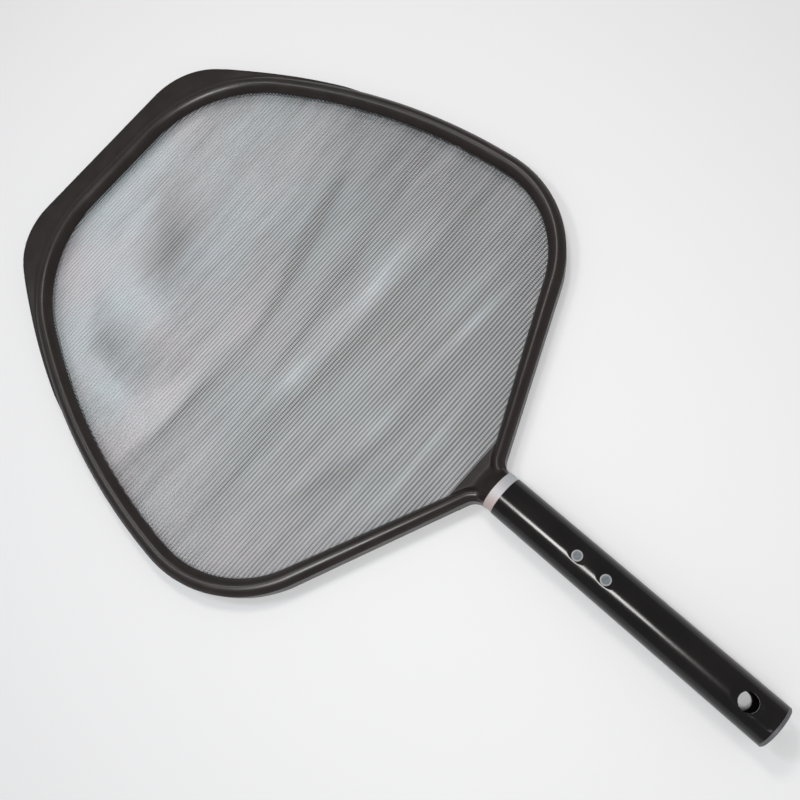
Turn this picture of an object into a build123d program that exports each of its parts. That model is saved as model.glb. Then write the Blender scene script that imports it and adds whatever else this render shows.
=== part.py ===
"""Leaf skimmer net: a flat moulded hoop with a woven net, riveted to a short tube handle.

Lengths are in millimetres. The origin is the centre of the locking hole across the handle,
on the handle's axis. +Y runs along the handle towards the net, +Z is the scooping side
and the skimmer is the same on both sides of X = 0.
"""

from build123d import *
import os

# Handle tube
HANDLE_DIAMETER = 28.5
HANDLE_WALL = 1.5
LOCK_HOLE_DIAMETER = 11.8
LOCK_HOLE_TO_END = 20.7
LOCK_HOLE_TO_COLLAR = 180.5
END_RING_FLANGE = 2.2
END_RING_SLEEVE = 9.0
END_RING_WALL = 1.4
END_RING_CHAMFER = 0.6

# Neck
COLLAR_DIAMETER = 27.5
COLLAR_WIDTH = 7.0
NECK_DIAMETER = 26.4
STUB_LENGTH = 96.0
STUB_WALL = 4.0
SLIP = 0.05

# Rivets through the handle and the stub inside it
RIVET_STATIONS = {"handle_rivet_front": 121.7, "handle_rivet_rear": 100.0}
RIVET_HEAD_DIAMETER = 7.2
RIVET_HEAD_HEIGHT = 0.6
RIVET_HEAD_ROUND = 0.3
RIVET_SHANK_DIAMETER = 4.8
RIVET_SEAT_DIAMETER = 9.0
RIVET_SEAT_DEPTH = 1.0

# Plan of the hoop's inner edge, measured from the handle's end of the collar
NECK_EDGE = 29.2
NECK_EDGE_HALF_WIDTH = 22.8
RAIL_ANGLE = 25.0
RAIL_LENGTH = 121.3
CORNER_RADIUS = 82.5
CORNER_TURN = 67.4
SIDE_RADIUS = 456.8
SIDE_TURN = 25.6
FRONT_CORNER_RADIUS = 104.2

# Rail section
RAIL_WIDTH = 12.5
RAIL_CREST = 1.2
RAIL_SHOULDER = -3.0
FLANGE_TOP = -4.8
MESH_TOP = -6.0
MESH_THICKNESS = 0.6
MESH_HELD_WIDTH = 7.0
FRAME_BOTTOM = -HANDLE_DIAMETER / 2
RING_RECESS = 8.5
RING_INSET = 0.8
RING_CLEARANCE = 0.2
RING_HEIGHT = 4.0
BOTTOM_CHAMFER = 1.0

# Leading lip
LIP_FRONT = 437.0
LIP_STRAIGHT_HALF = 63.4
LIP_CORNER_RADIUS = 59.0
LIP_SIDE_ANGLE = 57.1
LIP_SIDE_END = (171.1, 284.8)
LIP_TOP = -0.5
LIP_THICKNESS = 3.6
LIP_EDGE_ROUND = 1.5

# Neck web
WEB_TOP = -4.6
BEAD_START_OFFSET = 7.2
BEAD_FLARE_RADIUS = 12.4
NECK_CONE_LENGTH = 20.0
NECK_CONE_TIP_RADIUS = 5.0
NECK_CONE_TIP_HEIGHT = -9.2

HANDLE_RADIUS = HANDLE_DIAMETER / 2
HANDLE_BORE_RADIUS = HANDLE_RADIUS - HANDLE_WALL
STUB_RADIUS = HANDLE_BORE_RADIUS - SLIP
RIVET_SEAT_HEIGHT = HANDLE_RADIUS - RIVET_SEAT_DEPTH
COLLAR_START = LOCK_HOLE_TO_COLLAR
NECK_START = COLLAR_START + COLLAR_WIDTH
TUBE_START = END_RING_FLANGE - LOCK_HOLE_TO_END
STANDING = (Align.CENTER, Align.CENTER, Align.MIN)
OVERLAP = 1.0


def rod(radius, start, end):
    """A solid round bar on the handle's axis from Y = start to Y = end."""
    bar = Cylinder(radius, end - start, align=STANDING)
    return Pos(0, start, 0) * Rot(-90, 0, 0) * bar


def pin_across(radius, station, height):
    """A round bar along Z, centred on the handle's axis at Y = station."""
    return Pos(0, station, 0) * Cylinder(radius, height)


def half_plan():
    """The right half of the hoop's inner edge, from the neck to the front, as four edges."""
    start = (NECK_EDGE_HALF_WIDTH, COLLAR_START + NECK_EDGE)
    rail = PolarLine(start, RAIL_LENGTH, RAIL_ANGLE)
    corner = JernArc(rail @ 1, rail % 1, CORNER_RADIUS, CORNER_TURN)
    side = JernArc(corner @ 1, corner % 1, SIDE_RADIUS, SIDE_TURN)
    front_turn = 180 - RAIL_ANGLE - CORNER_TURN - SIDE_TURN
    front = JernArc(side @ 1, side % 1, FRONT_CORNER_RADIUS, front_turn)
    return [rail, corner, side, front]


def closed_plan(grow=0.0):
    """The face inside the hoop's inner edge, moved outwards by grow."""
    right = half_plan()
    left = [edge.mirror(Plane.YZ) for edge in right]
    front = Line(right[-1] @ 1, left[-1] @ 1)
    neck = Line(left[0] @ 0, right[0] @ 0)
    face = make_face(right + [front] + left + [neck])
    return offset(face, grow, kind=Kind.INTERSECTION) if grow else face


def slab(face, bottom, top):
    """A flat plan face made solid between two heights."""
    return Pos(0, 0, bottom) * extrude(face, top - bottom)


def rail_section():
    """The hoop's section: a domed top on straight walls, centred on the rail."""
    half = RAIL_WIDTH / 2
    inner_wall = Line((-half, FRAME_BOTTOM), (-half, FLANGE_TOP))
    dome = ThreePointArc((-half, FLANGE_TOP), (0, RAIL_CREST), (half, RAIL_SHOULDER))
    outer_wall = Line((half, RAIL_SHOULDER), (half, FRAME_BOTTOM + BOTTOM_CHAMFER))
    chamfer = Line(outer_wall @ 1, (half - BOTTOM_CHAMFER, FRAME_BOTTOM))
    bottom = Line(chamfer @ 1, inner_wall @ 0)
    return make_face([inner_wall, dome, outer_wall, chamfer, bottom])


def rail_path():
    """The rail's centre line, from the collar round the hoop and back to the collar."""
    across = RAIL_WIDTH / 2
    right = [offset_edge(edge, across) for edge in half_plan()]
    rail_start, rail_direction = right[0] @ 0, right[0] % 0
    rise = (rail_start.X - BEAD_START_OFFSET) * rail_direction.Y / rail_direction.X
    bend = (BEAD_START_OFFSET, rail_start.Y - rise)
    foot = (BEAD_START_OFFSET, NECK_START)
    neck = FilletPolyline(foot, bend, (right[0] @ 1), radius=BEAD_FLARE_RADIUS)
    right_side = neck.edges() + right[1:]
    left_side = [edge.mirror(Plane.YZ) for edge in right_side]
    front = Line(right[-1] @ 1, left_side[-1] @ 1)
    return Wire(right_side + [front] + left_side)


def offset_edge(edge, across):
    """A line or arc of the plan moved outwards from the hoop by across."""
    if edge.geom_type == GeomType.LINE:
        normal = Vector((edge % 0).Y, -(edge % 0).X, 0)
        return Line(edge @ 0 + normal * across, edge @ 1 + normal * across)
    centre = edge.arc_center
    start = edge @ 0 + (edge @ 0 - centre).normalized() * across
    turn = (edge % 0).get_angle(edge % 1)
    return JernArc(start, edge % 0, edge.radius + across, turn)


def lip_plan():
    """The scoop lip's outline as one face that reaches back over the hoop."""
    front = COLLAR_START + LIP_FRONT
    corner = JernArc((LIP_STRAIGHT_HALF, front), (1, 0), LIP_CORNER_RADIUS, -LIP_SIDE_ANGLE)
    side_end = (LIP_SIDE_END[0], COLLAR_START + LIP_SIDE_END[1])
    side = TangentArc(corner @ 1, side_end, tangent=corner % 1)
    right = [corner, side]
    left = [edge.mirror(Plane.YZ) for edge in right]
    lead = Line(corner @ 0, left[0] @ 0)
    back = Line(right[-1] @ 1, left[-1] @ 1)
    return make_face(right + [lead] + left + [back])


def lip():
    """The flat scoop lip along the front, thinning out down both sides of the hoop."""
    plan = lip_plan() - closed_plan(RAIL_WIDTH / 2)
    body = slab(plan, LIP_TOP - LIP_THICKNESS, LIP_TOP)
    front = COLLAR_START + LIP_FRONT
    edges = [edge for edge in body.edges() if abs((edge @ 0.5).Y - front) < 0.01]
    return fillet(edges, LIP_EDGE_ROUND)


def web():
    """The flat floor of the neck between the two rails."""
    neck_edge = COLLAR_START + NECK_EDGE
    inner = (NECK_EDGE_HALF_WIDTH, neck_edge)
    middle = (BEAD_START_OFFSET, NECK_START)
    outer = (NECK_EDGE_HALF_WIDTH, neck_edge - RAIL_WIDTH / 2)
    right = [middle, outer, inner]
    left = [(-x, y) for x, y in reversed(right)]
    return slab(make_face(Polyline(*right, *left, close=True)), FRAME_BOTTOM, WEB_TOP)


def neck_cone():
    """The round neck behind the collar, sinking into the web."""
    throat = Plane((0, NECK_START, 0), z_dir=(0, 1, 0)) * Circle(NECK_DIAMETER / 2)
    tip_centre = (0, NECK_START + NECK_CONE_LENGTH, NECK_CONE_TIP_HEIGHT)
    tip = Plane(tip_centre, z_dir=(0, 1, 0)) * Circle(NECK_CONE_TIP_RADIUS)
    return loft([throat, tip])


def stub():
    """The hollow stub that fills the front half of the handle tube."""
    inner_end = NECK_START - STUB_LENGTH
    bar = rod(STUB_RADIUS, inner_end, NECK_START + OVERLAP)
    hollow = rod(STUB_RADIUS - STUB_WALL, inner_end, NECK_START - STUB_WALL)
    return bar - hollow


def rivet_holes(diameter):
    """The cross holes that the rivets pass through."""
    stations = RIVET_STATIONS.values()
    return [pin_across(diameter / 2, station, 2 * HANDLE_DIAMETER) for station in stations]


def hoop_frame():
    """The one-piece moulding: rails, lip, neck web, neck and handle stub."""
    path = rail_path()
    start = Plane(path @ 0, x_dir=(1, 0, 0), z_dir=-(path % 0))
    rails = sweep(start * rail_section(), path=path)
    body = rails + web() + lip() + neck_cone() + stub()
    recess = slab(closed_plan(RING_RECESS), FRAME_BOTTOM - OVERLAP, MESH_TOP)
    return body - recess - rivet_holes(RIVET_SHANK_DIAMETER + 2 * SLIP)


def mesh_clamp_ring():
    """The ring pressed in under the net, which clamps the net's edge to the hoop."""
    outside = closed_plan(RING_RECESS - RING_CLEARANCE)
    plan = outside - closed_plan(RING_INSET)
    top = MESH_TOP - MESH_THICKNESS
    return slab(plan, top - RING_HEIGHT, top)


def net_mesh():
    """The net as one thin closed sheet, clamped all round between hoop and ring."""
    return slab(closed_plan(MESH_HELD_WIDTH), MESH_TOP - MESH_THICKNESS, MESH_TOP)


def neck_collar():
    """The bright metal ring on the stub between the neck and the handle tube."""
    ring = rod(COLLAR_DIAMETER / 2, COLLAR_START, NECK_START)
    return ring - rod(STUB_RADIUS + SLIP, COLLAR_START, NECK_START)


def handle_tube():
    """The round tube, with its locking hole, rivet holes and spot-faced rivet seats."""
    tube = rod(HANDLE_RADIUS, TUBE_START, COLLAR_START)
    tube -= rod(HANDLE_BORE_RADIUS, TUBE_START, COLLAR_START)
    tube -= pin_across(LOCK_HOLE_DIAMETER / 2, 0, 2 * HANDLE_DIAMETER)
    tube -= rivet_holes(RIVET_SHANK_DIAMETER + 2 * SLIP)
    for station in RIVET_STATIONS.values():
        seat = Cylinder(RIVET_SEAT_DIAMETER / 2, HANDLE_RADIUS, align=STANDING)
        tube -= Pos(0, station, RIVET_SEAT_HEIGHT) * seat
        tube -= Pos(0, station, -RIVET_SEAT_HEIGHT) * Rot(180, 0, 0) * seat
    return tube


def handle_end_ring():
    """The flanged ring pressed into the tube's open end, cleared for the pole's lock."""
    tube_end = -LOCK_HOLE_TO_END
    flange = rod(HANDLE_RADIUS, tube_end, TUBE_START)
    outer_edge = flange.edges().filter_by(GeomType.CIRCLE).sort_by(Axis.Y)[0]
    flange = chamfer(outer_edge, END_RING_CHAMFER)
    sleeve = rod(STUB_RADIUS, TUBE_START, TUBE_START + END_RING_SLEEVE)
    bore = rod(STUB_RADIUS - END_RING_WALL, tube_end, TUBE_START + END_RING_SLEEVE)
    return flange + sleeve - bore


def rivet(station):
    """A solid rivet across the handle, its flat heads sunk inside the tube's round."""
    shank = pin_across(RIVET_SHANK_DIAMETER / 2, station, 2 * RIVET_SEAT_HEIGHT)
    head = Cylinder(RIVET_HEAD_DIAMETER / 2, RIVET_HEAD_HEIGHT, align=STANDING)
    rim = head.edges().filter_by(GeomType.CIRCLE).sort_by(Axis.Z)[-1]
    head = fillet(rim, RIVET_HEAD_ROUND)
    upper = Pos(0, station, RIVET_SEAT_HEIGHT) * head
    lower = Pos(0, station, -RIVET_SEAT_HEIGHT) * Rot(180, 0, 0) * head
    return shank + upper + lower


def main():
    """Writes one STEP file for each piece."""
    pieces = {
        "hoop_frame": hoop_frame(),
        "mesh_clamp_ring": mesh_clamp_ring(),
        "net_mesh": net_mesh(),
        "neck_collar": neck_collar(),
        "handle_tube": handle_tube(),
        "handle_end_ring": handle_end_ring(),
    }
    for name, station in RIVET_STATIONS.items():
        pieces[name] = rivet(station)
    os.makedirs("parts", exist_ok=True)
    for name, piece in pieces.items():
        export_step(piece, f"parts/{name}.step")


if __name__ == "__main__":
    main()
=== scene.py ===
import math

import bmesh
import bpy
import numpy as np
from mathutils import Matrix, Vector

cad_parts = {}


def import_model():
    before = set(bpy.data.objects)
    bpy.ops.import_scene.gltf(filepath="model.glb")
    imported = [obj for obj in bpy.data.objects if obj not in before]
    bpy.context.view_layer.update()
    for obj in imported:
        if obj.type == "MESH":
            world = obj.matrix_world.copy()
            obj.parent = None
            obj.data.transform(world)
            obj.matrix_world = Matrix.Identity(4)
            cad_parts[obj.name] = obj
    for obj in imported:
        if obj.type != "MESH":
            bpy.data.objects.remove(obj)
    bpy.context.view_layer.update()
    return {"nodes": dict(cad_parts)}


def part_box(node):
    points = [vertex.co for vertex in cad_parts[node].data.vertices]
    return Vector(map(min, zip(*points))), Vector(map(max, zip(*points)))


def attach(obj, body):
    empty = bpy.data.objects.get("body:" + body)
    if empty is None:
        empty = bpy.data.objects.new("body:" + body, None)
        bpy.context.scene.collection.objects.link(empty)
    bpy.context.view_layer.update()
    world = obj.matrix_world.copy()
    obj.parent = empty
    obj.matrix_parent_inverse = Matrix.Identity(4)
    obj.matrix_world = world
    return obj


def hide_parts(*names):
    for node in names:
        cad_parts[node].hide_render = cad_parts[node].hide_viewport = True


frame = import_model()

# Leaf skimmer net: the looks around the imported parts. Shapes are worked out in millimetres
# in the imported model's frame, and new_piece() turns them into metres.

MM = 0.001


def box_mm(node):
    """A CAD node's lowest and highest corners, in millimetres."""
    low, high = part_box(node)
    return low / MM, high / MM


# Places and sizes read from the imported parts
HOOP_LOW, HOOP_HIGH = box_mm("hoop_frame")
TUBE_LOW, TUBE_HIGH = box_mm("handle_tube")
COLLAR_LOW, COLLAR_HIGH = box_mm("neck_collar")
NET_HIGH = box_mm("net_mesh")[1]
HANDLE_RADIUS = TUBE_HIGH.x
TUBE_START = TUBE_LOW.y
TUBE_END = TUBE_HIGH.y
COLLAR_START = COLLAR_LOW.y
NECK_START = COLLAR_HIGH.y
FRAME_BOTTOM = HOOP_LOW.z
RAIL_CREST = 1.2
LIP_FRONT = HOOP_HIGH.y
NET_TOP = NET_HIGH.z
RIVET_NODES = ("handle_rivet_front", "handle_rivet_rear")

# Plan of the hoop's inner edge
NECK_EDGE = COLLAR_START + 29.2
NECK_EDGE_HALF_WIDTH = 22.8
RAIL_ANGLE = 25.0
RAIL_LENGTH = 121.3
CORNER_RADIUS = 82.5
CORNER_TURN = 67.4
SIDE_RADIUS = 456.8
SIDE_TURN = 25.6
FRONT_CORNER_RADIUS = 104.2
FRONT_TURN = 180 - RAIL_ANGLE - CORNER_TURN - SIDE_TURN

# Rail section, measured from the rail's centre line
RAIL_HALF = 6.25
INNER_SHOULDER = -4.8
OUTER_SHOULDER = -2.4
CREST_OUT = 0.2
INNER_FALL = 2.1
OUTER_FALL = 2.1
RING_WIDTH = 8.5
BOTTOM_CHAMFER = 0.6
EDGE_THICKNESS = 1.2
EDGE_ROUND = 0.3
UNDERCUT = 1.0

# Scoop lip
LIP_STRAIGHT_HALF = 63.4
LIP_CORNER_RADIUS = 59.0
LIP_SIDE_ANGLE = 57.1
LIP_SIDE_END = (171.1, COLLAR_START + 284.8)
LIP_TOP = -0.5
LIP_DISH = 0.9
LIP_THICKNESS = 3.6
LIP_EDGE_RADIUS = 1.5
LIP_BLEND = 11.0
LIP_ROOT = 2.0
LIP_RUN_OUT = 22.0
VALLEY_FILLET = 3.0

# Neck
FLARE_RADIUS = 11.0
WEB_TOP = -4.6
WEB_FILLET = 2.0
NECK_RADIUS = 13.2
THROAT_LENGTH = 17.0
THROAT_FALL = 1.6
THROAT_FILLET = 2.5
STUB_RADIUS = 12.7
STUB_BORE_RADIUS = 8.7
STUB_LENGTH = 96.0
STUB_OVERLAP = 0.5

# Handle
HANDLE_WALL = 1.5
LOCK_HOLE_RADIUS = 5.9
HOLE_SINK = 1.1
HOLE_SINK_CURVE = 9.0
SINK_BLEND = 0.3
SEAT_DEPTH = 0.5
SEAT_RADIUS = 3.7
SEAT_CURVE = 5.0
PRESS_DEPTH = 0.9
PRESS_START = 7.0
PRESS_FADE = 20.0
PRESS_END_FADE = 3.0
PRESS_AT_END = 0.6
PRESS_BLEND = 0.4
TUBE_SHARP = 40.0
# Painted highlight round each rivet head's rim: from and to these distances from its middle
RIM_HIGHLIGHT_START = 2.5
RIM_HIGHLIGHT_END = 3.0

# Net
NET_HELD_WIDTH = 2.5
WEFT_PITCH = 2.65
WARP_PITCH = 1.45
WEFT_RADIUS = 0.38
WARP_RADIUS = 0.26
WEFT_STEP = 11.0
NET_SAG = 1.2
NET_BELOW_TOP = 0.9
WEAVE_LIFT = 0.8
WEFT_SIDES = 4
WARP_SIDES = 3
THREAD_SHARP = 170.0
FOLD_DEPTH = 1.3
# Strength of the painted light and shade over the folds
FOLD_SHADE = 1.95
FOLD_SPREAD = 1.35
# Even drift of the painted light and shade across the net
NET_SHADE_DRIFT = (-2.2, 2.6, 0.0)
NET_TINTS = ((0.915, 0.995, 1.0, 1.0), (1.0, 0.925, 0.94, 1.0))
NET_TONE_RANGE = (0.4, 1.75)

# Painted light and shade in ripples across the net: noise scale and strength, drawn out along X by
# the stretch
SHADE_RIPPLES = ((26, 0.19), (85, 0.20), (240, 0.22))
SHADE_RIPPLE_STRETCH = (0.1, 1, 1)

# Soft folds and pressed patches: middle, angle, half length, half width, tone. The tone lifts or
# presses the net and also sets the painted light and shade over each fold
FOLDS = (
    ((-95, 402), 0, 85, 9, -0.75),
    ((45, 421), 17, 100, 9, -0.85),
    ((15, 376), 9, 140, 10, -0.40),
    ((0, 337), -1, 150, 9, -0.60),
    ((-60, 348), -4, 90, 10, -0.25),
    ((45, 268), -1, 120, 9, -0.65),
    ((30, 290), -5, 110, 6, -0.40),
    ((-75, 284), -18, 50, 8, -0.35),
    ((-15, 514), 38, 62, 30, -0.50),
    ((-108, 488), -8, 24, 45, -0.45),
    ((60, 240), 14, 70, 12, -0.45),
    ((-118, 420), -15, 45, 22, 0.60),
    ((-131, 478), 0, 12, 55, 0.55),
    ((-105, 527), 48, 48, 12, 0.55),
    ((-68, 556), 10, 30, 12, 0.50),
    ((-68, 500), 85, 60, 20, 0.40),
    ((-30, 545), 12, 60, 10, 0.35),
    ((-35, 351), 0, 32, 14, 0.35),
    ((60, 355), 6, 70, 12, 0.45),
    ((-22, 281), -5, 36, 8, 0.35),
    ((75, 279), -4, 60, 7, 0.50),
    ((20, 577), 0, 110, 14, 0.30),
    ((-20, 243), 2, 75, 5, 0.35),
    ((10, 226), 0, 45, 4, 0.30),
    ((75, 485), -25, 110, 80, 0.12),
    ((-38, 258), -8, 80, 30, -0.16),
)

# Mesh fineness: steps in millimetres, and points across or around a shape
STEP = 2.4
NECK_STEP = 0.6
TUBE_STEP = 0.8
TUBE_SIDES = 192
BORE_SIDES = 96
RAIL_POINTS = 33
LIP_POINTS = 9
ROUND_POINTS = 5
NECK_RAIL_POINTS = 21
NECK_MIDDLE_POINTS = 17


# ---------------------------------------------------------------- small helpers

def smoothstep(t):
    """A soft run from 0 to 1 as t goes from 0 to 1."""
    t = np.clip(t, 0.0, 1.0)
    return t * t * (3 - 2 * t)


def smooth_max(a, b, width):
    """The larger of a and b, rounded over where they are within width of each other."""
    near = np.maximum(width - np.abs(a - b), 0.0) / width
    return np.maximum(a, b) + near * near * width / 4


def smooth_min(a, b, width):
    """The smaller of a and b, rounded over in the same way."""
    return -smooth_max(-a, -b, width)


def new_piece(name, points, faces, sharp=35.0):
    """A smooth-shaded mesh from points in millimetres, with edges over the sharp angle kept."""
    mesh = bpy.data.meshes.new(name)
    mesh.from_pydata((np.asarray(points) * MM).tolist(), [], faces)
    mesh.validate()
    work = bmesh.new()
    work.from_mesh(mesh)
    bmesh.ops.recalc_face_normals(work, faces=work.faces)
    work.to_mesh(mesh)
    work.free()
    mesh.shade_smooth()
    mesh.set_sharp_from_angle(angle=math.radians(sharp))
    piece = bpy.data.objects.new(name, mesh)
    bpy.context.scene.collection.objects.link(piece)
    return piece


def modified(piece, kind, **settings):
    """The piece with one modifier applied to its mesh."""
    modifier = piece.modifiers.new(kind.lower(), kind)
    for key, value in settings.items():
        setattr(modifier, key, value)
    graph = bpy.context.evaluated_depsgraph_get()
    mesh = bpy.data.meshes.new_from_object(piece.evaluated_get(graph))
    piece.modifiers.clear()
    piece.data = mesh
    return piece


def joined(pieces, name):
    """Several meshes made into one piece."""
    points, faces, start = [], [], 0
    for piece in pieces:
        points += [tuple(v.co / MM) for v in piece.data.vertices]
        faces += [[i + start for i in p.vertices] for p in piece.data.polygons]
        start = len(points)
        bpy.data.objects.remove(piece)
    return new_piece(name, points, faces)


def ring_faces(rings, size, closed=False):
    """Quads between rings of size points each, one after another."""
    faces = []
    for i in range(rings if closed else rings - 1):
        here, there = i * size, ((i + 1) % rings) * size
        for j in range(size):
            k = (j + 1) % size
            faces.append((here + j, here + k, there + k, there + j))
    return faces


# ---------------------------------------------------------------- plan curves

def walk(start, heading, runs, step=STEP):
    """Points and headings along straight runs (length, 0) and arcs (radius, turn in degrees)."""
    at = np.array(start, float)
    angle = math.radians(heading)
    points, headings = [at.copy()], [angle]
    for size, turn in runs:
        sweep = math.radians(turn)
        length = size * abs(sweep) if turn else size
        steps = max(2, math.ceil(length / step))
        side = math.copysign(size, sweep)
        begin, first = at, angle
        for i in range(1, steps + 1):
            share = i / steps
            if turn:
                angle = first + sweep * share
                centre = begin + side * np.array((-math.sin(first), math.cos(first)))
                at = centre - side * np.array((-math.sin(angle), math.cos(angle)))
            else:
                at = begin + length * share * np.array((math.cos(first), math.sin(first)))
            points.append(at)
            headings.append(angle)
    return np.array(points), np.array(headings)


def outward(headings):
    """Unit normals to the right of each heading, which point away from the hoop."""
    return np.column_stack((np.sin(headings), -np.cos(headings)))


def hoop_runs(grow):
    """The corner, side and front corner of the hoop's half plan, moved outwards by grow."""
    return [
        (CORNER_RADIUS + grow, CORNER_TURN),
        (SIDE_RADIUS + grow, SIDE_TURN),
        (FRONT_CORNER_RADIUS + grow, FRONT_TURN),
    ]


def inner_half(grow):
    """The right half of the hoop's inner edge, without the neck's, moved outwards by grow."""
    angle = math.radians(RAIL_ANGLE)
    start = (NECK_EDGE_HALF_WIDTH + grow * math.sin(angle), NECK_EDGE - grow * math.cos(angle))
    return walk(start, RAIL_ANGLE, [(RAIL_LENGTH, 0)] + hoop_runs(grow))


def rail_half():
    """The rail's centre line from the collar to the middle of the front.

    Returns its points, outward normals and half widths, and how many stations make the neck.
    The outer edge leaves the collar along the handle, flares, and runs straight to the
    corner. The rail is narrower towards the neck, where the two edges come together.
    """
    angle = math.radians(RAIL_ANGLE)
    out = np.array((math.sin(angle), -math.cos(angle)))
    neck_corner = np.array((NECK_EDGE_HALF_WIDTH, NECK_EDGE))
    rail_end = neck_corner + 2 * RAIL_HALF * out + RAIL_LENGTH * np.array((-out[1], out[0]))
    foot = (NECK_RADIUS, NECK_START)
    turn = RAIL_ANGLE - 90
    for _ in range(8):  # the flare has to end looking straight at the rail's end
        flare = walk(foot, 90, [(FLARE_RADIUS, turn)])[0]
        ahead = rail_end - flare[-1]
        turn = math.degrees(math.atan2(ahead[1], ahead[0])) - 90
    length = float(np.linalg.norm(ahead))
    beside = float(np.dot(neck_corner - flare[-1], ahead / length))
    edge, headings = walk(foot, 90, [(FLARE_RADIUS, turn), (beside, 0)], NECK_STEP)
    stations = len(edge)
    narrow = float(np.linalg.norm(edge[-1] - neck_corner)) / 2
    straight, ahead = walk(edge[-1], 90 + turn, [(length - beside, 0)])
    edge, headings = np.vstack((edge, straight[1:])), np.r_[headings, ahead[1:]]
    widening = np.linspace(narrow, RAIL_HALF, len(straight))
    halves = np.r_[np.full(stations, narrow), widening[1:]]
    loop, turns = walk(rail_end, RAIL_ANGLE, hoop_runs(2 * RAIL_HALF))
    front, ahead = walk(loop[-1], 180, [(float(loop[-1][0]), 0)])
    edge = np.vstack((edge, loop[1:], front[1:]))
    normals = outward(np.r_[headings, turns[1:], ahead[1:]])
    halves = np.pad(halves, (0, len(edge) - len(halves)), mode="edge")
    return edge - halves[:, None] * normals, normals, halves, stations


def arc_to(start, heading, end):
    """The arc (radius, turn) that leaves start at heading and passes through end."""
    across = np.array(end) - np.array(start)
    bend = math.atan2(across[1], across[0]) - math.radians(heading)
    radius = np.linalg.norm(across) / (2 * math.sin(abs(bend)))
    return float(radius), math.degrees(2 * bend)


def lip_outline():
    """The right half of the lip's outer edge, from the middle of the front to the side."""
    corner = [(LIP_STRAIGHT_HALF, 0), (LIP_CORNER_RADIUS, -LIP_SIDE_ANGLE)]
    corner_end = walk((0, LIP_FRONT), 0, corner)[0][-1]
    side = arc_to(corner_end, -LIP_SIDE_ANGLE, LIP_SIDE_END)
    return walk((0, LIP_FRONT), 0, corner + [side])[0]


def lip_reach(centres, normals):
    """How far the lip stands out beyond the rail at each station, running out at its end."""
    outline = lip_outline()
    starts, runs = outline[:-1], np.diff(outline, axis=0)
    reach = np.zeros(len(centres))
    for i, (centre, normal) in enumerate(zip(centres, normals)):
        cross = normal[0] * runs[:, 1] - normal[1] * runs[:, 0]
        cross = np.where(np.abs(cross) < 1e-9, 1e-9, cross)
        gap = starts - centre
        along = (gap[:, 0] * runs[:, 1] - gap[:, 1] * runs[:, 0]) / cross
        share = (gap[:, 0] * normal[1] - gap[:, 1] * normal[0]) / cross
        hits = along[(share >= -0.01) & (share <= 1.01) & (along > 0)]
        if len(hits):
            reach[i] = max(0.0, hits.min() - RAIL_HALF)
    return reach * smoothstep((centres[:, 1] - LIP_SIDE_END[1]) / LIP_RUN_OUT)


# ---------------------------------------------------------------- hoop moulding

def rail_top(out, half):
    """Height of the rail's top, which falls away from the crest to both edges."""
    crest_out = CREST_OUT * half / RAIL_HALF
    inner = np.abs(np.minimum(out - crest_out, 0)) / (crest_out + half)
    outer = np.maximum(out - crest_out, 0) / (half - crest_out)
    fall = (RAIL_CREST - INNER_SHOULDER) * inner ** INNER_FALL
    return RAIL_CREST - fall - (RAIL_CREST - OUTER_SHOULDER) * outer ** OUTER_FALL


def section(reach, half):
    """The rail's section as (outwards, up) points, with a lip that stands out by reach."""
    blend = float(smoothstep(reach / LIP_BLEND))
    lip_top = OUTER_SHOULDER + (LIP_TOP - OUTER_SHOULDER) * blend
    thick = EDGE_THICKNESS + (LIP_THICKNESS - EDGE_THICKNESS) * blend
    edge = min(LIP_EDGE_RADIUS, thick / 2, EDGE_ROUND + reach / 2)
    tip = half + reach
    lip_out = np.linspace(half, max(tip - edge, half + 0.01), LIP_POINTS)[1:]
    out = np.r_[np.linspace(-half, half, RAIL_POINTS), lip_out]
    root = half - LIP_ROOT
    share = np.clip((out - root) / (tip - root), 0, 1)
    lip_up = lip_top - LIP_DISH * blend * (1 - share) ** 2
    lip_up = np.where(out > CREST_OUT, lip_up, -99.0)  # inside the crest there is no lip
    up = smooth_max(rail_top(out, half), lip_up, VALLEY_FILLET * blend + 0.01)
    points = list(zip(out, up))
    edge_out, edge_up = tip - edge, up[-1] - edge
    for angle in np.linspace(math.pi / 2, 0, ROUND_POINTS)[1:]:
        points.append((edge_out + edge * math.cos(angle), edge_up + edge * math.sin(angle)))
    under = up[-1] - thick
    for angle in np.linspace(0, math.pi / 2, ROUND_POINTS)[:-1]:
        rise = edge - edge * math.sin(angle)
        points.append((edge_out + edge * math.cos(angle), under + rise))
    recess = RING_WIDTH - half
    points += [
        (half + min(UNDERCUT, reach / 2), under),
        (half, under - UNDERCUT),
        (half, FRAME_BOTTOM + BOTTOM_CHAMFER),
        (half - BOTTOM_CHAMFER, FRAME_BOTTOM),
        (recess, FRAME_BOTTOM),
        (recess, NET_TOP),
        (-half, NET_TOP),
    ]
    return np.array(points)


def capped(rings):
    """Points and faces of a solid through the rings, with a flat cap at each end."""
    size = len(rings[0])
    faces = ring_faces(len(rings), size)
    faces.append(tuple(range(size))[::-1])
    faces.append(tuple(range((len(rings) - 1) * size, len(rings) * size)))
    return np.vstack(rings), faces


def loop_rails(centres, normals, halves, reaches):
    """The rails and lip all round the hoop, from one side of the neck to the other."""
    right = []
    for centre, normal, half, reach in zip(centres, normals, halves, reaches):
        shape = section(reach, half)
        right.append(np.column_stack((centre + np.outer(shape[:, 0], normal), shape[:, 1])))
    left = [ring * (-1, 1, 1) for ring in right[:-1]][::-1]
    return new_piece("rails", *capped(right + left))


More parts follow.
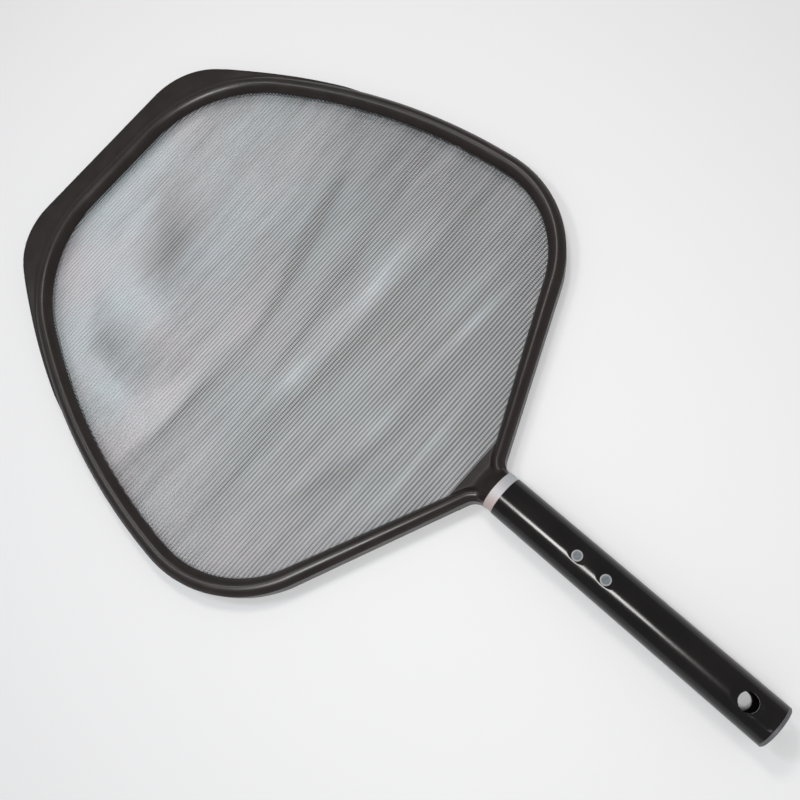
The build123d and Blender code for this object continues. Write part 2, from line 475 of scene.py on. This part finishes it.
def neck_top(x, y, rail):
    """The higher of the rail, the web and the throat that sinks from the collar to the web."""
    share = np.clip((y - NECK_START) / THROAT_LENGTH, 0, 1)
    round_top = np.sqrt(np.maximum(NECK_RADIUS ** 2 - x ** 2, 0))
    throat = WEB_TOP + (round_top - WEB_TOP) * (1 - share) ** THROAT_FALL
    return smooth_max(smooth_max(rail, WEB_TOP, WEB_FILLET), throat, THROAT_FILLET)


def neck_bottom(x, y):
    """The underside, with room for the clamp ring near the net."""
    angle = math.radians(RAIL_ANGLE)
    past = (np.abs(x) - NECK_EDGE_HALF_WIDTH) * math.sin(angle)
    past = past - (y - NECK_EDGE) * math.cos(angle)
    over_ring = (y > NECK_EDGE - RING_WIDTH) & (past < RING_WIDTH)
    return np.where(over_ring, NET_TOP, FRAME_BOTTOM)


def neck(centres, normals, halves):
    """The moulding between the collar and the net, as rows from one side to the other."""
    points = []
    for centre, normal, half in zip(centres, normals, halves):
        out = np.linspace(half, -half, NECK_RAIL_POINTS)
        rail = centre + np.outer(out, normal)
        middle = np.linspace(rail[-1], (0.0, rail[-1][1]), NECK_MIDDLE_POINTS)[1:]
        plan = np.vstack((rail, middle))
        out = np.r_[out, -half - (rail[-1][0] - middle[:, 0])]
        top = neck_top(plan[:, 0], plan[:, 1], rail_top(out, half))
        bottom = neck_bottom(plan[:, 0], plan[:, 1])
        right = np.column_stack((plan, top, bottom))
        row = np.vstack((right, right[-2::-1] * (-1, 1, 1, 1)))
        points += [row[:, [0, 1, 2]], row[::-1, [0, 1, 3]]]
    width = len(row)
    size = 2 * width
    faces = ring_faces(len(centres), size)
    for start in (0, (len(centres) - 1) * size):
        for j in range(width - 1):
            k = size - 1 - j
            faces.append((start + j, start + j + 1, start + k - 1, start + k))
    return new_piece("neck", np.vstack(points), faces)


def stub():
    """The hollow stub inside the handle tube."""
    start, end = NECK_START - STUB_LENGTH, NECK_START + STUB_OVERLAP
    angles = np.linspace(0, 2 * math.pi, BORE_SIDES, endpoint=False)
    bore = [(STUB_BORE_RADIUS, end), (STUB_BORE_RADIUS, start)]
    profile = bore + [(STUB_RADIUS, start), (STUB_RADIUS, end)]
    points = []
    for radius, y in profile:
        points += [(radius * math.cos(a), y, radius * math.sin(a)) for a in angles]
    return new_piece("stub", points, ring_faces(len(profile), BORE_SIDES, closed=True))


def hoop_moulding():
    """The whole moulding in one piece: rails with the lip, neck and stub."""
    centres, normals, halves, stations = rail_half()
    reaches = lip_reach(centres, normals)
    last = stations - 1
    rails = loop_rails(centres[last:], normals[last:], halves[last:], reaches[last:])
    throat = neck(centres[:stations], normals[:stations], halves[:stations])
    return joined([rails, throat, stub()], "hoop_moulding")


# ---------------------------------------------------------------- handle tube

def side_height(x, y):
    """The tube's top over X and Y, pressed in at the rivets, the lock hole and the free end."""
    height = np.sqrt(np.maximum(HANDLE_RADIUS ** 2 - x ** 2, 0))
    for node in RIVET_NODES:
        low, high = box_mm(node)
        station = (low.y + high.y) / 2
        away = np.hypot(x, y - station)
        rise = np.maximum(away - SEAT_RADIUS, 0) ** 2 / (2 * SEAT_CURVE)
        height = smooth_min(height, HANDLE_RADIUS - SEAT_DEPTH + rise, SINK_BLEND)
    away = np.hypot(x, y)
    rise = np.maximum(away - LOCK_HOLE_RADIUS, 0) ** 2 / (2 * HOLE_SINK_CURVE)
    height = smooth_min(height, HANDLE_RADIUS - HOLE_SINK + rise, SINK_BLEND)
    press = smoothstep((PRESS_START - y) / PRESS_FADE)
    from_end = smoothstep((y - TUBE_START) / PRESS_END_FADE)
    press = press * (PRESS_AT_END + (1 - PRESS_AT_END) * from_end)
    flat = HANDLE_RADIUS + PRESS_BLEND - (PRESS_DEPTH + PRESS_BLEND) * press
    return smooth_min(height, flat, PRESS_BLEND)


def tube_ring(y, angles, scale):
    """The tube's section at one station, drawn in by scale for the inner skin."""
    x = HANDLE_RADIUS * np.cos(angles)
    z = np.sign(np.sin(angles)) * side_height(x, y)
    z = np.where(np.abs(np.sin(angles)) < 1e-6, 0, z)
    return np.column_stack((x * scale, np.full(len(angles), y), z * scale))


def handle_tube():
    """The tube's wall as an outer and an inner skin, cut through for the locking pin."""
    rows = int(round((TUBE_END - TUBE_START) / TUBE_STEP)) + 1
    stations = np.linspace(TUBE_START, TUBE_END, rows)
    angles = np.linspace(0, 2 * math.pi, TUBE_SIDES, endpoint=False)
    bore = (HANDLE_RADIUS - HANDLE_WALL) / HANDLE_RADIUS
    rings = [tube_ring(y, angles, 1.0) for y in stations]
    rings += [tube_ring(y, angles, bore) for y in stations[::-1]]
    faces = ring_faces(len(rings), TUBE_SIDES, closed=True)
    tube = new_piece("handle_skin", np.vstack(rings), faces)
    bpy.ops.mesh.primitive_cylinder_add(
        vertices=BORE_SIDES, radius=LOCK_HOLE_RADIUS * MM, depth=3 * HANDLE_RADIUS * MM
    )
    drill = bpy.context.object
    modified(tube, "BOOLEAN", operation="DIFFERENCE", object=drill, solver="EXACT")
    bpy.data.objects.remove(drill)
    tube.data.shade_smooth()
    tube.data.set_sharp_from_angle(angle=math.radians(TUBE_SHARP))
    return tube


# ---------------------------------------------------------------- net

def fold_rise(x, y):
    """How far the folds lift the net, or press it down, at each point."""
    rise = np.zeros(np.broadcast(x, y).shape)
    for (fold_x, fold_y), turn, length, width, tone in FOLDS:
        a = math.radians(turn)
        from_x, from_y = x - fold_x, y - fold_y
        along = (from_x * math.cos(a) + from_y * math.sin(a)) / length
        across = (from_y * math.cos(a) - from_x * math.sin(a)) / width
        rise += tone * np.maximum(1 - along ** 2 - across ** 2, 0) ** 2
    return rise * FOLD_DEPTH


def net_height(x, y):
    """The net's surface: a slight sag with soft folds."""
    v = (y - NECK_EDGE) / (LIP_FRONT - NECK_EDGE)
    half = HOOP_HIGH.x - 2 * RAIL_HALF
    middle = np.clip(1 - (x / half) ** 2, 0, 1) * np.clip(4 * v * (1 - v), 0, 1)
    level = NET_TOP - NET_BELOW_TOP - NET_SAG * middle
    return level + fold_rise(x, y) * smoothstep(middle * 4)


def outline_of_net():
    """The net's cut edge, all round."""
    half = inner_half(NET_HELD_WIDTH)[0]
    neck_y = NECK_EDGE - NET_HELD_WIDTH
    right = np.vstack(([(half[0][0], neck_y)], half, [(0, half[-1][1])]))
    left = right[::-1] * (-1, 1)
    return np.vstack((right, left))


def span(outline, axis, at):
    """Where a line across the outline, at a coordinate along axis, enters and leaves it."""
    a, b = outline, np.roll(outline, -1, axis=0)
    crosses = (a[:, axis] > at) != (b[:, axis] > at)
    a, b = a[crosses], b[crosses]
    share = (at - a[:, axis]) / (b[:, axis] - a[:, axis])
    hits = a[:, 1 - axis] + share * (b[:, 1 - axis] - a[:, 1 - axis])
    return hits.min(), hits.max()


def thread(centres, across, radius, sides, points, faces):
    """Adds one round thread through the centres, closed at both ends."""
    start = len(points)
    angles = np.arange(sides) * 2 * math.pi / sides + math.pi / 2
    out = np.outer(np.cos(angles), across) + np.outer(np.sin(angles), (0, 0, 1))
    count = len(centres)
    rings = (centres[:, None, :] + radius * out[None, :, :]).reshape(-1, 3)
    points.extend(rings.tolist())
    for i in range(count - 1):
        here = start + i * sides
        for j in range(sides):
            k = (j + 1) % sides
            faces.append((here + j, here + k, here + sides + k, here + sides + j))
    faces.append(tuple(range(start, start + sides))[::-1])
    faces.append(tuple(range(start + (count - 1) * sides, start + count * sides)))


def net_weave():
    """Stiff weft threads across the net, and warp threads that pass over and under them.

    Returns the piece and how many of its faces belong to the weft.
    """
    outline = outline_of_net()
    low, high = outline[:, 1].min(), outline[:, 1].max()
    wefts = np.arange(low + WEFT_PITCH / 2, high, WEFT_PITCH)
    half_width = outline[:, 0].max()
    count = int(half_width / WARP_PITCH)
    warps = np.arange(-count, count + 1) * WARP_PITCH
    points, faces = [], []
    for y in wefts:
        ends = span(outline, 1, y)
        steps = max(3, int((ends[1] - ends[0]) / WEFT_STEP) + 1)
        x = np.linspace(ends[0], ends[1], steps)
        centres = np.column_stack((x, np.full(steps, y), net_height(x, y)))
        thread(centres, (0, 1, 0), WEFT_RADIUS, WEFT_SIDES, points, faces)
    weft_faces = len(faces)
    lift = (WEFT_RADIUS + WARP_RADIUS) * WEAVE_LIFT
    for i, x in enumerate(warps):
        ends = span(outline, 0, x)
        inside = np.flatnonzero((wefts > ends[0]) & (wefts < ends[1]))
        y = wefts[inside]
        side = np.where((inside + i) % 2, 1.0, -1.0)
        centres = np.column_stack((np.full(len(y), x), y, net_height(x, y) + side * lift))
        if len(y) > 1:
            thread(centres, (1, 0, 0), WARP_RADIUS, WARP_SIDES, points, faces)
    return new_piece("net_weave", points, faces, sharp=THREAD_SHARP), weft_faces


# ---------------------------------------------------------------- materials

def srgb(r, g, b):
    """A colour from 0 to 255 as a person reads it, turned into linear light."""
    def linear(c):
        c = c / 255
        return c / 12.92 if c <= 0.04045 else ((c + 0.055) / 1.055) ** 2.4
    return (linear(r), linear(g), linear(b), 1.0)


NOISE_ROUGHNESS = 0.55


class Nodes:
    """A new node material with a Principled shader, and short calls to wire it."""

    def __init__(self, name):
        self.material = bpy.data.materials.new(name)
        self.material.use_nodes = True
        self.tree = self.material.node_tree
        self.shader = self.tree.nodes["Principled BSDF"]

    def add(self, kind, **values):
        """A new node, with its settings or its inputs set by name."""
        node = self.tree.nodes.new(kind)
        for key, value in values.items():
            if hasattr(node, key):
                setattr(node, key, value)
            else:
                node.inputs[key.replace("_", " ")].default_value = value
        return node

    def link(self, source, target):
        """Wires an output to an input."""
        self.tree.links.new(source, target)

    def position(self, scale=(1, 1, 1)):
        """Object coordinates, in metres, stretched by scale."""
        where = self.add("ShaderNodeTexCoord")
        mapping = self.add("ShaderNodeMapping")
        mapping.inputs["Scale"].default_value = scale
        self.link(where.outputs["Object"], mapping.inputs["Vector"])
        return mapping.outputs["Vector"]

    def noise(self, scale, detail=3.0, stretch=(1, 1, 1)):
        """Soft clouds over the object, about one over scale metres across."""
        node = self.add("ShaderNodeTexNoise", Scale=scale, Detail=detail, Roughness=NOISE_ROUGHNESS)
        self.link(self.position(stretch), node.inputs["Vector"])
        return node.outputs["Fac"]

    def ramp(self, source, low, high, start=0.3, end=0.7):
        """Runs from low to high, colours or numbers, as source goes from start to end."""
        if isinstance(low, tuple):
            node = self.add("ShaderNodeMix", data_type="RGBA")
            factor = self.ramp(source, 0.0, 1.0, start, end)
            self.link(factor, node.inputs[0])
            node.inputs[6].default_value = low
            node.inputs[7].default_value = high
            return node.outputs[2]
        node = self.add("ShaderNodeMapRange")
        self.link(source, node.inputs["Value"])
        limits = {"From Min": start, "From Max": end, "To Min": low, "To Max": high}
        for name, value in limits.items():
            node.inputs[name].default_value = value
        return node.outputs["Result"]

    def bump(self, height, depth, strength):
        """Fine relief, depth metres deep, on the shader's normal."""
        node = self.add("ShaderNodeBump", Strength=strength, Distance=depth)
        self.link(height, node.inputs["Height"])
        self.link(node.outputs["Normal"], self.shader.inputs["Normal"])

    def set(self, name, value):
        """Gives a shader input an output to follow, or a value."""
        if isinstance(value, bpy.types.NodeSocket):
            self.link(value, self.shader.inputs[name])
        else:
            self.shader.inputs[name].default_value = value


def moulded_plastic():
    """The hoop's satin black plastic."""
    made = Nodes("moulded_plastic")
    clouds = made.noise(55, detail=4)
    grain = made.noise(900, detail=2)
    made.set("Base Color", made.ramp(clouds, srgb(31, 25, 22), srgb(40, 33, 30)))
    made.set("Roughness", made.ramp(clouds, 0.30, 0.37))
    made.set("Specular IOR Level", 0.38)
    made.bump(grain, 0.00002, 0.3)
    return made.material


def matt_ring():
    """The clamp ring's duller plastic."""
    made = Nodes("matt_ring_plastic")
    clouds = made.noise(80, detail=4)
    made.set("Base Color", made.ramp(clouds, srgb(34, 31, 29), srgb(44, 40, 38)))
    made.set("Roughness", made.ramp(clouds, 0.5, 0.62))
    made.set("Specular IOR Level", 0.4)
    made.bump(made.noise(1200), 0.00003, 0.4)
    return made.material


def painted_net_shade(made):
    """Painted light and shade of the net over X and Y: an even drift, the soft folds and ripples.
    """
    drift = made.add("ShaderNodeVectorMath", operation="DOT_PRODUCT")
    made.link(made.position(), drift.inputs[0])
    drift.inputs[1].default_value = NET_SHADE_DRIFT
    tone = drift.outputs["Value"]
    for (fold_x, fold_y), turn, length, width, strength in FOLDS:
        where = made.add("ShaderNodeTexCoord")
        mapping = made.add("ShaderNodeMapping", vector_type="TEXTURE")
        mapping.inputs["Location"].default_value = (fold_x * MM, fold_y * MM, 0)
        mapping.inputs["Rotation"].default_value = (0, 0, math.radians(turn))
        spread = FOLD_SPREAD * MM
        mapping.inputs["Scale"].default_value = (length * spread, width * spread, 1)
        blob = made.add("ShaderNodeTexGradient", gradient_type="QUADRATIC_SPHERE")
        total = made.add("ShaderNodeMath", operation="MULTIPLY_ADD")
        made.link(where.outputs["Object"], mapping.inputs["Vector"])
        made.link(mapping.outputs["Vector"], blob.inputs["Vector"])
        made.link(blob.outputs["Fac"], total.inputs[0])
        total.inputs[1].default_value = strength * FOLD_SHADE
        made.link(tone, total.inputs[2])
        tone = total.outputs["Value"]
    # Ripple streaks of painted light and shade
    for scale, strength in SHADE_RIPPLES:
        streaks = made.noise(scale, detail=3, stretch=SHADE_RIPPLE_STRETCH)
        total = made.add("ShaderNodeMath", operation="ADD")
        made.link(tone, total.inputs[0])
        made.link(made.ramp(streaks, -strength, strength), total.inputs[1])
        tone = total.outputs["Value"]
    return tone


def net_thread(name, dark, light):
    """Thread plastic whose colour runs from dark to light with the painted light and shade of the
    net's folds.
    """
    made = Nodes(name)
    shade = made.ramp(painted_net_shade(made), dark, light, *NET_TONE_RANGE)
    tint = made.add("ShaderNodeMix", data_type="RGBA", blend_type="MULTIPLY")
    tint.inputs[0].default_value = 1.0
    made.link(shade, tint.inputs[6])
    made.link(made.ramp(made.noise(9, detail=2), *NET_TINTS, 0.4, 0.6), tint.inputs[7])
    made.set("Base Color", tint.outputs[2])
    made.set("Roughness", made.ramp(made.noise(300), 0.36, 0.5))
    made.bump(made.noise(2500, detail=1), 0.00003, 0.3)
    return made.material


def black_coat():
    """The handle's glossy black coating."""
    made = Nodes("black_coat")
    clouds = made.noise(40, detail=3)
    made.set("Base Color", made.ramp(clouds, srgb(17, 15, 15), srgb(24, 21, 20)))
    made.set("Roughness", made.ramp(made.noise(140, stretch=(1, 0.2, 1)), 0.14, 0.22))
    made.set("Specular IOR Level", 0.28)
    made.bump(made.noise(500, detail=2), 0.00001, 0.25)
    return made.material


def collar_metal():
    """The collar's pale metal, warm and cool in turn."""
    made = Nodes("collar_metal")
    turned = made.noise(900, detail=2, stretch=(0.03, 1, 0.03))
    across = made.ramp(made.noise(45, detail=1), srgb(194, 178, 176), srgb(180, 188, 192))
    made.set("Base Color", across)
    made.set("Metallic", 0.3)
    made.set("Roughness", made.ramp(turned, 0.58, 0.72))
    made.bump(turned, 0.00002, 0.5)
    return made.material


def rivet_metal(node):
    """Zinc, with a painted highlight on the rolled rim, centred on one rivet."""
    made = Nodes(node + "_metal")
    low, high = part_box(node)
    scuffs = made.noise(700, detail=4)
    away = made.add("ShaderNodeVectorMath", operation="DISTANCE")
    made.link(made.position((1, 1, 0)), away.inputs[0])
    away.inputs[1].default_value = (0, (low.y + high.y) / 2, 0)
    rim = made.ramp(away.outputs["Value"], 0.0, 1.0, RIM_HIGHLIGHT_START * MM, RIM_HIGHLIGHT_END * MM)
    tone = made.add("ShaderNodeMix", data_type="RGBA")
    made.link(rim, tone.inputs[0])
    made.link(made.ramp(scuffs, srgb(84, 92, 96), srgb(108, 115, 119)), tone.inputs[6])
    # Painted highlight colour on the rim
    tone.inputs[7].default_value = srgb(150, 152, 152)
    made.set("Base Color", tone.outputs[2])
    made.set("Metallic", 0.5)
    made.set("Roughness", made.ramp(scuffs, 0.38, 0.55))
    made.bump(scuffs, 0.00003, 0.5)
    return made.material


def end_ring_grey():
    """The end ring's grey plastic."""
    made = Nodes("end_ring_grey")
    clouds = made.noise(300, detail=3)
    made.set("Base Color", made.ramp(clouds, srgb(80, 82, 85), srgb(98, 99, 102)))
    made.set("Roughness", made.ramp(clouds, 0.4, 0.55))
    made.bump(made.noise(1500), 0.00002, 0.4)
    return made.material


def paint(piece, material):
    """Gives the piece one material."""
    piece.data.materials.clear()
    piece.data.materials.append(material)


# ---------------------------------------------------------------- stage

CAMERA_AIM = (0.0033, 0.2785, 0.0)
CAMERA_DISTANCE = 0.581
CAMERA_ELEVATION = 69.70
CAMERA_AZIMUTH = 12.82
CAMERA_ROLL = 35.94
CAMERA_LENS = 38.25
SENSOR_WIDTH = 36

# Lamps: name, direction from the net's middle (azimuth, elevation), distance, size, power,
# tint and what they light
NET_CENTRE = (0.0, 0.30, 0.0)
LAMPS = (
    ("strip", (-106, 67), 0.98, (0.34, 0.20), 8.0, (1.0, 0.98, 0.96), "glossy"),
    ("right_box", (41, 59), 1.05, (0.22, 0.22), 2.3, (1.0, 0.95, 0.93), "both"),
    ("left_box", (-26, 57), 1.03, (0.22, 0.22), 1.7, (0.93, 0.97, 1.0), "both"),
    ("fill", (-166, 69), 0.90, (0.10, 0.10), 3.2, (1.0, 1.0, 1.0), "diffuse"),
)
WORLD_LIGHT = 0.36
FLOOR_HALF_SIZE = 3000


def direction(azimuth, elevation):
    """A unit vector: azimuth 0 is +Y and 90 is +X."""
    a, e = math.radians(azimuth), math.radians(elevation)
    return Vector((math.sin(a) * math.cos(e), math.cos(a) * math.cos(e), math.sin(e)))


def camera():
    """The scene's camera, aimed, rolled and set as the active one."""
    forward = direction(CAMERA_AZIMUTH, -CAMERA_ELEVATION)
    level = forward.cross(Vector((0, 0, 1))).normalized()
    up = level.cross(forward)
    roll = math.radians(CAMERA_ROLL)
    right = level * math.cos(roll) - up * math.sin(roll)
    up = level * math.sin(roll) + up * math.cos(roll)
    data = bpy.data.cameras.new("camera")
    data.lens = CAMERA_LENS
    data.sensor_width = SENSOR_WIDTH
    data.clip_start = 0.01
    made = bpy.data.objects.new("camera", data)
    place = Vector(CAMERA_AIM) - forward * CAMERA_DISTANCE
    made.matrix_world = Matrix(
        (
            (right.x, up.x, -forward.x, place.x),
            (right.y, up.y, -forward.y, place.y),
            (right.z, up.z, -forward.z, place.z),
            (0, 0, 0, 1),
        )
    )
    bpy.context.scene.collection.objects.link(made)
    bpy.context.scene.camera = made


def lamp(name, angles, distance, size, power, tint, lights):
    """An area lamp that faces the net's middle and may light only diffusely or in reflections."""
    data = bpy.data.lights.new(name, "AREA")
    data.shape = "RECTANGLE"
    data.size, data.size_y = size
    data.energy = power
    data.color = tint
    made = bpy.data.objects.new(name, data)
    away = direction(*angles)
    made.location = Vector(NET_CENTRE) + away * distance
    made.rotation_euler = away.to_track_quat("Z", "Y").to_euler()
    made.visible_glossy = lights != "diffuse"
    made.visible_diffuse = lights != "glossy"
    bpy.context.scene.collection.objects.link(made)


def floor():
    """A plain pale floor under the hoop."""
    size, z = FLOOR_HALF_SIZE, FRAME_BOTTOM
    corners = [(-size, -size, z), (size, -size, z), (size, size, z), (-size, size, z)]
    piece = new_piece("floor", corners, [(0, 1, 2, 3)])
    made = Nodes("floor_paint")
    made.set("Base Color", srgb(244, 244, 244))
    made.set("Roughness", 0.9)
    made.set("Specular IOR Level", 0.1)
    paint(piece, made.material)


def world():
    """Even pale light from all round."""
    made = bpy.data.worlds.new("studio")
    made.use_nodes = True
    background = made.node_tree.nodes["Background"]
    background.inputs["Color"].default_value = (0.97, 0.98, 1.0, 1)
    background.inputs["Strength"].default_value = WORLD_LIGHT
    bpy.context.scene.world = made
    bpy.context.scene.view_settings.view_transform = "Standard"


# ---------------------------------------------------------------- put together

camera()
world()
floor()
for row in LAMPS:
    lamp(*row)

hoop = hoop_moulding()
paint(hoop, moulded_plastic())
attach(hoop, "root")
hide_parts("hoop_frame")

tube = handle_tube()
paint(tube, black_coat())
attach(tube, "root")
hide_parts("handle_tube")

net, weft_faces = net_weave()
# Both threads take the painted light and shade of the net's folds, each between its own dark and
# light colour
paint(net, net_thread("weft_thread", srgb(98, 104, 108), srgb(174, 177, 181)))
net.data.materials.append(net_thread("warp_thread", srgb(36, 42, 45), srgb(247, 249, 252)))
for face in list(net.data.polygons)[weft_faces:]:
    face.material_index = 1
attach(net, "root")
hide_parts("net_mesh")
cut = outline_of_net()

paint(frame["nodes"]["mesh_clamp_ring"], matt_ring())
paint(frame["nodes"]["neck_collar"], collar_metal())
paint(frame["nodes"]["handle_end_ring"], end_ring_grey())
for node in RIVET_NODES:
    paint(frame["nodes"][node], rivet_metal(node))
